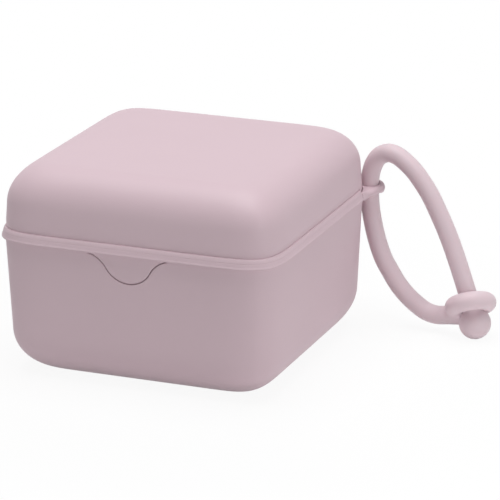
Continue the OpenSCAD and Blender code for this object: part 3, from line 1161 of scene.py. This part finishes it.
@dataclass
class Hinges:
    """The two hinges at the back: an arm of the base between two knuckles of the lid.

    The axis is given as y and z. The hollow rows are the rows of the dimple in a
    pin's end face, as depth and radius.
    """

    axis: Pair = (49.6, 50.6)
    knuckle_r: float = 2.99
    at_x: float = 23.0
    arm_l: float = 8.0
    knuckle_l: float = 5.0
    gap: float = 0.4
    pin_r: float = 1.5
    bore_r: float = 1.56
    wall_y: float = 46.0
    rim_z: float = 44.2
    foot_z: float = 34.7
    arm_in: float = 2.9
    web_h: float = 4.5
    web_from_y: float = 44.9
    edge_r: float = 0.35
    bore_edge_r: float = 0.2
    pin_end_gap: float = 0.12
    pin_edge_r: float = 0.3
    foot_in: float = 0.9
    hollow_rows: tuple[Pair, ...] = ((0.22, 0.35), (0.2, 0.6), (0.0, 0.8))

    @property
    def half(self) -> float:
        """Half the length of one hinge."""
        return self.arm_l / 2 + self.gap + self.knuckle_l

    def arm_outline(self) -> Array:
        """Section of an arm: from its foot in the wall up and round the axis.

        Returns:
            Outline as y and z.
        """
        axis = np.array(self.axis)
        foot = np.array([self.wall_y - self.foot_in, self.foot_z])
        touch = tangent_point(foot, axis, self.knuckle_r, 1)
        start = degrees_of(touch - axis)
        inner_y = self.axis[0] - self.arm_in
        end = math.degrees(math.acos(-self.arm_in / self.knuckle_r))
        inner = [
            [inner_y, self.rim_z + 0.4], [self.wall_y + 0.05, self.rim_z - 1], [foot[0], self.rim_z - 3],
        ]
        return np.concatenate([foot[None], arc(self.axis, self.knuckle_r, start, end, 36), inner])

    def knuckle_outline(self) -> Array:
        """Section of a lid knuckle and the web that joins it to the lid.

        Returns:
            Outline as y and z.
        """
        end = math.degrees(math.pi - math.asin(self.web_h / 2 / self.knuckle_r))
        z = self.axis[1] + np.array([1, -1]) * self.web_h / 2
        web = np.stack([np.full(2, self.web_from_y), z], -1)
        return even_loop(arc(self.axis, self.knuckle_r, -end, end, 40), web, step=0.25)

    def pin(self, name: str, x: float) -> bpy.types.Object:
        """A pin with rounded ends and a small hollow in each end face.

        Its rows are circles about the hinge's axis: (x, y + r cos a, z + r sin a).

        Args:
            name: Name of the piece.
            x: Middle of the hinge.

        Returns:
            The new object.
        """
        end = self.half - self.pin_end_gap
        q = np.radians(np.linspace(0, 90, 6))
        half = np.concatenate([
            [[end - depth, r] for depth, r in self.hollow_rows],
            np.array([end, self.pin_r]) - self.pin_edge_r * (1 - np.stack([np.cos(q), np.sin(q)], -1)),
            [[end - 2, self.pin_r]],
        ])
        rows = np.concatenate([half, (half * [-1, 1])[::-1]])
        a = full_turn(48)[None]
        y, z = (centre + rows[:, 1:] * turn(a) for centre, turn in zip(self.axis, (np.cos, np.sin)))
        poles = np.array([[x + rows[k, 0], *self.axis] for k in (0, -1)])
        surface = Surface()
        surface.add_closed(np.stack(np.broadcast_arrays(x + rows[:, :1], y, z), -1), *poles)
        return surface.build(name)

    def build(self, shell: bpy.types.Material, acetal: bpy.types.Material) -> None:
        """Makes and dresses the arms, the knuckles and the pins.

        Args:
            shell: Material of the arms and the knuckles.
            acetal: Material of the pins.
        """
        outline = self.knuckle_outline()
        rounding = np.full(len(outline), self.edge_r)
        for side, x in (("left", -self.at_x), ("right", self.at_x)):
            low, high = x - self.arm_l / 2, x + self.arm_l / 2
            arm = prism(self.arm_outline(), low, high, f"hinge_arm_{side}", self.edge_r)
            settle(arm, Body.BASE, Slot.BASE, shell)
            knuckles = Surface()
            for low in (x - self.half, x + self.half - self.knuckle_l):
                plate = BoredPlate(
                    outline, rounding, 0 * outline, 0 * rounding, self.axis, self.bore_r,
                    low, low + self.knuckle_l, self.bore_edge_r,
                )
                plate.add_sideways(knuckles)
            settle(knuckles.build(f"lid_knuckles_{side}"), Body.LID, Slot.LID, shell)
            pin = self.pin(f"turned_pin_{side}", x)
            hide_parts(f"hinge_pin_{side}")
            settle(pin, Body.BASE, Slot.PIN, acetal)


# ---------------------------------------------------------------- strap


# The cord's middle line, from the ring up and over to the ball: the distance
# from the eyelet's axis and the height of each point
CORD_ROUTE = [
    (28.4, 6.3), (24.6, 5.8), (20.8, 6.4), (17.2, 8.3), (13.8, 10.8), (10.6, 14),
    (7.8, 17.9), (5.3, 21.8), (3.6, 25.7), (2.2, 30), (1.1, 34.5), (0.3, 39),
    (0, 43.5), (0, 47), (0.4, 50.5), (1.6, 54), (3.6, 56.6), (6.5, 57.9),
    (9.6, 57.5), (12.6, 55.8), (15.6, 53.4), (18.4, 50.3), (21.6, 46), (24.3, 41.2),
    (26.9, 36.2), (29.2, 31.2), (31.3, 26), (33.3, 20.7), (35, 16), (36.9, 10.6),
]


@dataclass
class Strap:
    """Silicone strap: a cord looped through the eyelet, its ring and its ball."""

    eyelet: Pair = (45.076, 45.076)
    turn: float = -7.0
    cord_r: float = 3.0
    sides: int = 40
    ring_at: Pair = (36.55, 11.23)
    ring_tube_r: float = 2.98
    ring_bore_r: float = 2.39
    ring_lean: float = -23.3
    ring_tilt: float = 24.2
    leg_end: float = 4.6
    blend: float = 1.8
    ball_at: Pair = (38.2, 5.2)
    ball_r: float = 5.2
    ball_blend: float = 1.0
    under_cord: float = 0.03

    def place(self, s: Array, across: Array, z: Array) -> Array:
        """Turns the loop's own frame into the frame of the case.

        The place is eyelet + s (cos t, sin t) + across (-sin t, cos t), with t the
        turn of the loop.

        Args:
            s: Distances from the eyelet in the loop's plane.
            across: Distances from that plane.
            z: Heights.

        Returns:
            Points of shape (..., 3).
        """
        a = math.radians(self.turn)
        x = self.eyelet[0] + s * math.cos(a) - across * math.sin(a)
        y = self.eyelet[1] + s * math.sin(a) + across * math.cos(a)
        return np.stack(np.broadcast_arrays(x, y, z), -1)

    def route(self, steps: int = 8) -> Array:
        """A smooth line through the route's points.

        Between two points it is the Catmull-Rom cubic
        ((2b) + (c - a)t + (2a - 5b + 4c - d)t^2 + (3b - a - 3c + d)t^3) / 2.

        Args:
            steps: Steps from one point to the next.

        Returns:
            Distance from the eyelet and height, shape (n, 2).
        """
        p = np.array(CORD_ROUTE, float)
        p = np.concatenate([[2 * p[0] - p[1]], p, [2 * p[-1] - p[-2]]])
        a, b, c, d = (p[k:len(p) - 3 + k, None] for k in range(4))
        t = np.arange(steps)[None, :, None] / steps
        line = (2 * b + (c - a) * t + (2 * a - 5 * b + 4 * c - d) * t ** 2
                + (3 * b - a - 3 * c + d) * t ** 3) / 2
        return np.concatenate([line.reshape(-1, 2), p[-2:-1]])

    def cord(self) -> tuple[bpy.types.Object, Array]:
        """The cord as a round tube along its route.

        A ring's points are q + r (cos a n + sin a k), where n is the route's
        normal in the loop's plane and k is the plane's own normal.

        Returns:
            The piece and the points of its centreline.
        """
        line = self.route()
        way = unit_way(line)
        a = full_turn(self.sides)[None]
        out, across = self.cord_r * np.cos(a), self.cord_r * np.sin(a)
        s = line[:, :1] - way[:, 1:] * out
        z = line[:, 1:] + way[:, :1] * out
        grid = self.place(s, across + 0 * s, z)
        middle = self.place(line[:, 0], np.zeros(len(line)), line[:, 1])
        surface = Surface()
        surface.add_closed(grid, middle[0], middle[-1])
        return surface.build("strap_cord_tube"), middle

    def _put(self, points: Array) -> Array:
        """Turns points of the loop's own frame into the frame of the case."""
        return self.place(points[..., 0], points[..., 1], points[..., 2])

    def ring(self) -> bpy.types.Object:
        """The ring, grown together with the end of the lower leg.

        Each point lies on a ray from the ring's centreline, c + R o, along
        cos v o + sin v n. Here o = cos u e1 + sin u e2 is the way out in the
        ring's plane and n is its axis. The ray ends on the soft union of the ring
        and the rod of the leg.

        Returns:
            The new object.
        """
        lean, tilt = math.radians(self.ring_lean), math.radians(self.ring_tilt)
        turned = np.array(Matrix.Rotation(lean, 3, "Y") @ Matrix.Rotation(-tilt, 3, "X"))
        e1, e2, n = turned.T
        u, v = full_turn(200)[:, None, None], full_turn(96)[None, :, None]
        out = np.cos(u) * e1 + np.sin(u) * e2
        middle = np.array([self.ring_at[0], 0, self.ring_at[1]])
        major, leg_r = self.ring_bore_r + self.ring_tube_r, self.cord_r - self.under_cord
        start, after = (np.array([p[0], 0, p[1]]) for p in CORD_ROUTE[:2])
        tip = start + (start - after) / np.linalg.norm(start - after) * self.leg_end

        def distance(points: Array) -> Array:
            """Distance from the ring and the leg.

            Args:
                points: Array of shape (..., 3).

            Returns:
                Distances of shape (...).
            """
            away = points - middle
            up = away @ n
            flat = np.linalg.norm(away - up[..., None] * n, axis=-1)
            ring = np.hypot(flat - major, up) - self.ring_tube_r
            return grown_together(ring, capsule(points, after, tip, leg_r), self.blend)

        surface = Surface()
        rays = np.cos(v) * out + np.sin(v) * n
        surface.add_grid(self._put(traced(middle + major * out, rays, distance)), wrap_rows=True)
        return surface.build("strap_ring_body")

    def ball(self) -> bpy.types.Object:
        """The ball, grown together with the end of the upper leg.

        Its rays leave the middle along (cos v cos u, cos v sin u, sin v) and end on
        the soft union of the ball and the rod of the leg.

        Returns:
            The new object.
        """
        u = full_turn(96)[None]
        v = np.radians(np.linspace(-88, 88, 72))[:, None]
        rays = np.cos(v) * np.cos(u), np.cos(v) * np.sin(u), np.sin(v)
        rays = np.stack(np.broadcast_arrays(*rays), -1)
        middle = np.array([self.ball_at[0], 0, self.ball_at[1]])
        leg = np.array([CORD_ROUTE[-1][0], 0, CORD_ROUTE[-1][1]])

        def distance(points: Array) -> Array:
            """Distance from the ball and the leg.

            Args:
                points: Array of shape (..., 3).

            Returns:
                Distances of shape (...).
            """
            ball = np.linalg.norm(points - middle, axis=-1) - self.ball_r
            rod = capsule(points, middle, leg, self.cord_r - self.under_cord)
            return grown_together(ball, rod, self.ball_blend)

        poles = self._put(traced(middle, np.array([[0, 0, -1.0], [0, 0, 1.0]]), distance))
        surface = Surface()
        surface.add_closed(self._put(traced(middle, rays, distance)), *poles)
        return surface.build("strap_ball_body")

    def build(self, finish: bpy.types.Material) -> None:
        """Args:
            finish: Its material.
        """
        cord, middle = self.cord()
        ring, ball = self.ring(), self.ball()
        for piece, node in ((cord, "strap_cord"), (ring, "strap_ring"), (ball, "strap_ball")):
            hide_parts(node)
            settle(piece, Body.STRAP, Slot.STRAP, finish)
        middle = middle * MM
        length = float(line_length(middle)[-1])


# ---------------------------------------------------------------- finishes


@dataclass(frozen=True)
class Graph:
    """Nodes and links of a material, a world or a node group."""

    tree: bpy.types.NodeTree

    def feed(self, node: bpy.types.Node, inputs: Inputs) -> None:
        """Sets a node's inputs.

        Args:
            node: The node.
            inputs: A constant for each input, or the output that it is linked to.
        """
        for name, value in inputs.items():
            if isinstance(value, bpy.types.NodeSocket):
                self.tree.links.new(value, node.inputs[name])
            else:
                node.inputs[name].default_value = value

    def add(self, kind: str, inputs: Inputs | None = None, **settings: object) -> bpy.types.Node:
        """Adds a shader node.

        Args:
            kind: Type of the node, without ShaderNode.
            inputs: A constant for each input, or the output that it is linked to.
            settings: Further values of the node itself.

        Returns:
            The new node.
        """
        node = self.tree.nodes.new(f"ShaderNode{kind}")
        for name, value in settings.items():
            setattr(node, name, value)
        self.feed(node, inputs or {})
        return node

    def math(self, operation: str, a: object, b: object) -> bpy.types.NodeSocket:
        """Output of a math node on two values or outputs."""
        return self.add("Math", {0: a, 1: b}, operation=operation).outputs[0]

    def ramp(self, value: bpy.types.NodeSocket, span: Pair, result: Pair) -> bpy.types.NodeSocket:
        """Runs softly from one value to another.

        Args:
            value: The output that is followed.
            span: Where the run starts and ends in that value.
            result: What comes out at its start and its end.

        Returns:
            The output of the run.
        """
        names = ("From Min", "From Max", "To Min", "To Max")
        inputs = {"Value": value, **dict(zip(names, (*span, *result)))}
        return self.add("MapRange", inputs, interpolation_type="SMOOTHSTEP").outputs["Result"]

    def seen(self) -> bpy.types.NodeSocket:
        """One where a ray comes from the camera, a gloss or a clear surface.

        Returns:
            The output with that mask.
        """
        path = self.add("LightPath").outputs
        total = path["Is Camera Ray"]
        for name in ("Is Glossy Ray", "Is Transmission Ray"):
            total = self.math("MAXIMUM", total, path[name])
        return total


@dataclass(frozen=True)
class Finish:
    """A moulded finish: its colour, gloss and fine surface."""

    name: str
    colour: tuple[float, float, float]
    roughness: float
    grain_scale: float = 2600.0
    grain_depth: float = 0.00002
    mottle: float = 0.03
    subsurface: float = 0.0
    sheen: float = 0.0
    ior: float = 1.49
    scatter: tuple[float, float, float] = (0.004, 0.002, 0.002)

    def material(self, grain: bpy.types.NodeTree) -> bpy.types.Material:
        """Makes the material.

        Args:
            grain: The shared grain group.

        Returns:
            The new material.
        """
        made = bpy.data.materials.new(self.name)
        made.use_nodes = True
        graph = Graph(made.node_tree)
        effect = graph.add("Group", node_tree=grain)
        graph.feed(effect, {
            "Position": graph.add("TexCoord").outputs["Object"],
            "Colour": (*self.colour, 1),
            "Mottle": self.mottle,
            "Scale": self.grain_scale,
            "Depth": self.grain_depth,
            "Roughness": self.roughness,
        })
        graph.feed(made.node_tree.nodes["Principled BSDF"], {
            "Base Color": effect.outputs["Colour"],
            "Roughness": effect.outputs["Roughness"],
            "Normal": effect.outputs["Normal"],
            "IOR": self.ior,
            "Subsurface Weight": self.subsurface,
            "Subsurface Radius": self.scatter,
            "Subsurface Scale": 1.0,
            "Sheen Weight": self.sheen,
        })
        return made


PINK_SHELL = Finish("dusty_pink_shell", (0.630, 0.482, 0.530), roughness=0.54)
PINK_SILICONE = Finish(
    "pink_silicone", (0.705, 0.570, 0.612), roughness=0.55, grain_scale=1800.0,
    subsurface=0.1, sheen=0.1,
)
PALE_RACK = Finish("pale_rack", (0.80, 0.74, 0.75), roughness=0.42)
PIN_ACETAL = Finish(
    "pin_acetal", (0.60, 0.50, 0.53), roughness=0.35, grain_scale=3000.0, grain_depth=0.00001,
    mottle=0.02,
)


@dataclass(frozen=True)
class MouldedGrain:
    """Shared effect: the fine grain, soft mottling and gloss changes of a moulded surface."""

    mottle_scale: float = 38.0
    mottle_detail: float = 2.0
    grain_detail: float = 3.0
    gloss_change: float = 0.12

    def group(self) -> bpy.types.NodeTree:
        """Makes the node group.

        The colour's value is 1 + mottle (broad - 1/2), the roughness is
        roughness + gloss_change (fine - 1/2), and the fine noise raises the surface.

        Returns:
            The new node group.
        """
        group = bpy.data.node_groups.new("moulded_grain", "ShaderNodeTree")
        sockets = {
            "INPUT": {"Position": "Vector", "Colour": "Color", "Mottle": "Float", "Scale": "Float",
                      "Depth": "Float", "Roughness": "Float"},
            "OUTPUT": {"Colour": "Color", "Roughness": "Float", "Normal": "Vector"},
        }
        for way, kinds in sockets.items():
            for name, kind in kinds.items():
                group.interface.new_socket(name=name, in_out=way, socket_type=f"NodeSocket{kind}")
        graph = Graph(group)
        given, result = (group.nodes.new(f"NodeGroup{way}") for way in ("Input", "Output"))
        given = given.outputs
        broad = {"Scale": self.mottle_scale, "Detail": self.mottle_detail}
        fine = {"Scale": given["Scale"], "Detail": self.grain_detail}
        broad, fine = (
            graph.add("TexNoise", {"Vector": given["Position"], **noise}).outputs["Fac"]
            for noise in (broad, fine)
        )
        shade = graph.math("MULTIPLY", graph.math("SUBTRACT", broad, 0.5), given["Mottle"])
        tint = {"Color": given["Colour"], "Value": graph.math("ADD", shade, 1.0)}
        gloss = graph.math("MULTIPLY", graph.math("SUBTRACT", fine, 0.5), self.gloss_change)
        bump = {"Strength": 1.0, "Distance": given["Depth"], "Height": fine}
        graph.feed(result, {
            "Colour": graph.add("HueSaturation", tint).outputs["Color"],
            "Roughness": graph.math("ADD", gloss, given["Roughness"]),
            "Normal": graph.add("Bump", bump).outputs["Normal"],
        })
        return group


# ---------------------------------------------------------------- studio


@dataclass(frozen=True)
class PhotoCamera:
    """The camera at the photograph's place, found from the case's own edges.

    The target point is seen at pixel (target_u, target_v) of the 500 pixel
    square. The camera is turned so that its axis goes through the middle of the
    picture, which leaves no shift.
    """

    focal_px: float = 3216.92
    azimuth: float = 23.04
    elevation: float = 18.10
    distance: float = 1021.27
    target: tuple[float, float, float] = (0.0, 0.0, 33.0)
    target_u: float = 187.79
    target_v: float = 248.55
    roll: float = -0.60
    picture: float = 500.0
    sensor: float = 36.0

    def build(self) -> None:
        """Makes the camera and hands it to the scene."""
        a, e, r = (math.radians(x) for x in (self.azimuth, self.elevation, self.roll))
        back = Vector((math.sin(a) * math.cos(e), -math.cos(a) * math.cos(e), math.sin(e)))
        right = Vector((math.cos(a), math.sin(a), 0))
        up = back.cross(right)
        u, v = self.picture / 2 - self.target_u, self.picture / 2 - self.target_v
        x, y = u * math.cos(r) + v * math.sin(r), -u * math.sin(r) + v * math.cos(r)
        forward = (-back * self.focal_px + right * x - up * y).normalized()
        level = right * math.cos(r) + up * math.sin(r)
        new_right = (level - forward * level.dot(forward)).normalized()
        new_up = new_right.cross(forward)
        data = bpy.data.cameras.new("photo_camera")
        data.sensor_width = self.sensor
        data.lens = self.focal_px / self.picture * self.sensor
        data.clip_start, data.clip_end = 0.05, 20
        camera = placed("photo_camera", data)
        turned = Matrix((new_right, new_up, -forward)).transposed().to_4x4()
        place = (Vector(self.target) + back * self.distance) * MM
        camera.matrix_world = Matrix.Translation(place) @ turned
        bpy.context.scene.camera = camera


@dataclass(frozen=True)
class Lamp:
    """A soft square lamp."""

    name: str
    place: tuple[float, float, float]
    size: float
    power: float
    aim: tuple[float, float, float] = (0.0, 0.0, 0.03)

    def build(self) -> None:
        """Makes the lamp, turned towards its aim."""
        data = bpy.data.lights.new(self.name, "AREA")
        data.shape = "SQUARE"
        data.size = self.size
        data.energy = self.power
        lamp = placed(self.name, data)
        way = Vector(self.aim) - Vector(self.place)
        lamp.rotation_mode = "QUATERNION"
        lamp.rotation_quaternion = way.to_track_quat("-Z", "Y")
        lamp.location = self.place


@dataclass(frozen=True)
class Studio:
    """Pale floor, white surround and soft lamps.

    The bounces are tones of painted light on the floor under the case, in front of it and
    at its right side, as the object gets them: brighter near the case and at its right side,
    where they stand in for more light falling on the floor, which it throws back onto the
    object. The glow is what a camera ray sees of the floor, beside the shadow that the tones
    keep. Spans are in metres.
    """

    ambient: float = 0.27
    floor_half: float = 3.0
    floor_glow: float = 0.92
    glow_span: Pair = (0.07, 0.16)
    near_bounce: float = 0.8
    front_bounce: float = 0.62
    near_span: Pair = (0.09, 0.16)
    side_bounce: float = 0.92
    side_span: Pair = (-0.04, 0.04)
    lamps: tuple[Lamp, ...] = (
        Lamp("key_lamp", (0.0, -0.02, 1.0), 0.7, 8.2),
        Lamp("front_lamp", (-0.5, -1.15, 0.03), 0.5, 1.85),
        Lamp("side_lamp", (1.0, -0.3, 0.06), 0.4, 2.95),
    )

    def _world(self) -> None:
        """White to the eye, and a plain grey light for the object."""
        world = bpy.data.worlds.new("studio_world")
        world.use_nodes = True
        bpy.context.scene.world = world
        graph = Graph(world.node_tree)
        mix = graph.add("Mix", {"Factor": graph.seen(), "A": self.ambient, "B": 1.0})
        background = {"Color": (1, 1, 1, 1), "Strength": mix.outputs["Result"]}
        graph.feed(world.node_tree.nodes["Background"], background)

    def _paint(self) -> bpy.types.Material:
        """Paint of the floor: matt to the object's light, and near white to the eye.

        Returns:
            The new material.
        """
        paint = bpy.data.materials.new("floor_paint")
        paint.use_nodes = True
        nodes = paint.node_tree.nodes
        nodes.remove(nodes["Principled BSDF"])
        graph = Graph(paint.node_tree)
        place = graph.add("TexCoord").outputs["Object"]
        parts = graph.add("SeparateXYZ", {"Vector": place}).outputs
        far = graph.add("VectorMath", {0: place}, operation="LENGTH").outputs["Value"]
        # Painted light: the floor's tone is brighter near the case and at its right side, standing in for
        # more light falling there, and darker farther off
        tones = graph.add("Mix", {
            "Factor": graph.ramp(graph.math("ADD", parts["X"], parts["Y"]), self.side_span, (0.0, 1.0)),
            "A": graph.ramp(far, self.near_span, (self.near_bounce, self.front_bounce)),
            "B": self.side_bounce,
        })
        share = graph.ramp(far, self.glow_span, (self.floor_glow, 1.0))
        mix = graph.add("MixShader", {
            "Fac": graph.math("MULTIPLY", graph.seen(), share),
            1: graph.add("BsdfDiffuse", {"Color": tones.outputs["Result"]}).outputs["BSDF"],
            2: graph.add("Emission", {"Color": (1, 1, 1, 1)}).outputs["Emission"],
        })
        graph.feed(nodes["Material Output"], {"Surface": mix.outputs["Shader"]})
        return paint

    def _floor(self) -> None:
        """A pale floor that keeps the object's soft shadow."""
        h = self.floor_half
        mesh = bpy.data.meshes.new("studio_floor")
        mesh.from_pydata([(-h, -h, 0), (h, -h, 0), (h, h, 0), (-h, h, 0)], [], [(0, 1, 2, 3)])
        mesh.materials.append(self._paint())
        placed("studio_floor", mesh)

    def build(self) -> None:
        """Makes the studio."""
        self._world()
        self._floor()
        for lamp in self.lamps:
            lamp.build()
        bpy.context.scene.view_settings.view_transform = "Standard"


# ---------------------------------------------------------------- the whole case


@dataclass(frozen=True)
class Rack:
    """The rack that holds the pacifiers over the water."""

    name: str = "steaming_rack_body"
    edge_w: float = 0.3
    merge: float = 0.001
    flat_angle: float = 1.0

    def build(self, node: bpy.types.Object, finish: bpy.types.Material) -> None:
        """Makes the rack from its CAD node, with merged points and rounded edges.

        Args:
            node: The CAD node's object.
            finish: Its material.
        """
        mesh = node.data.copy()
        mesh.name = self.name
        work = bmesh.new()
        work.from_mesh(mesh)
        bmesh.ops.remove_doubles(work, verts=work.verts, dist=self.merge * MM)
        flat = math.radians(self.flat_angle)
        bmesh.ops.dissolve_limit(work, angle_limit=flat, verts=work.verts, edges=work.edges)
        work.to_mesh(mesh)
        work.free()
        shade_smooth(mesh)
        piece = placed(self.name, mesh)
        round_edges(piece, self.edge_w)
        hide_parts("steaming_rack")
        settle(piece, Body.RACK, Slot.RACK, finish)


def front_columns(bell: Bell, reach: float = 15.8, step: float = 0.3) -> Array:
    """Columns of the plan along its straight front, close together round the tab.

    Args:
        bell: Outline of the tab.
        reach: How far the close columns go to each side of the bell's middle.
        step: Distance between them along the outline.

    Returns:
        Values of x in rising order.
    """
    inner = bell.stations(reach, step, BaseShell.tab_gap)
    end = CasePlan.half - CasePlan.corner_zone
    left, right = (np.linspace(a, b, 6)[1:-1] for a, b in ((-end, inner[0]), (inner[-1], end)))
    return np.concatenate([left, inner, right])


def main() -> None:
    """Builds the camera, the studio and every piece of the case, in order."""
    logging.basicConfig(level=logging.INFO, format="%(message)s")
    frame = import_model()
    PhotoCamera().build()
    grain = MouldedGrain().group()
    Strap().build(PINK_SILICONE.material(grain))
    Studio().build()
    bell = Bell()
    plan = CasePlan(front_x=front_columns(bell))
    shell = PINK_SHELL.material(grain)
    BaseShell(plan, bell).build(shell)
    Eyelet(plan).build(shell)
    LidShell(plan, bell).build(shell)
    Hinges().build(shell, PIN_ACETAL.material(grain))
    Rack().build(frame["nodes"]["steaming_rack"], PALE_RACK.material(grain))


if __name__ == "__main__":
    main()
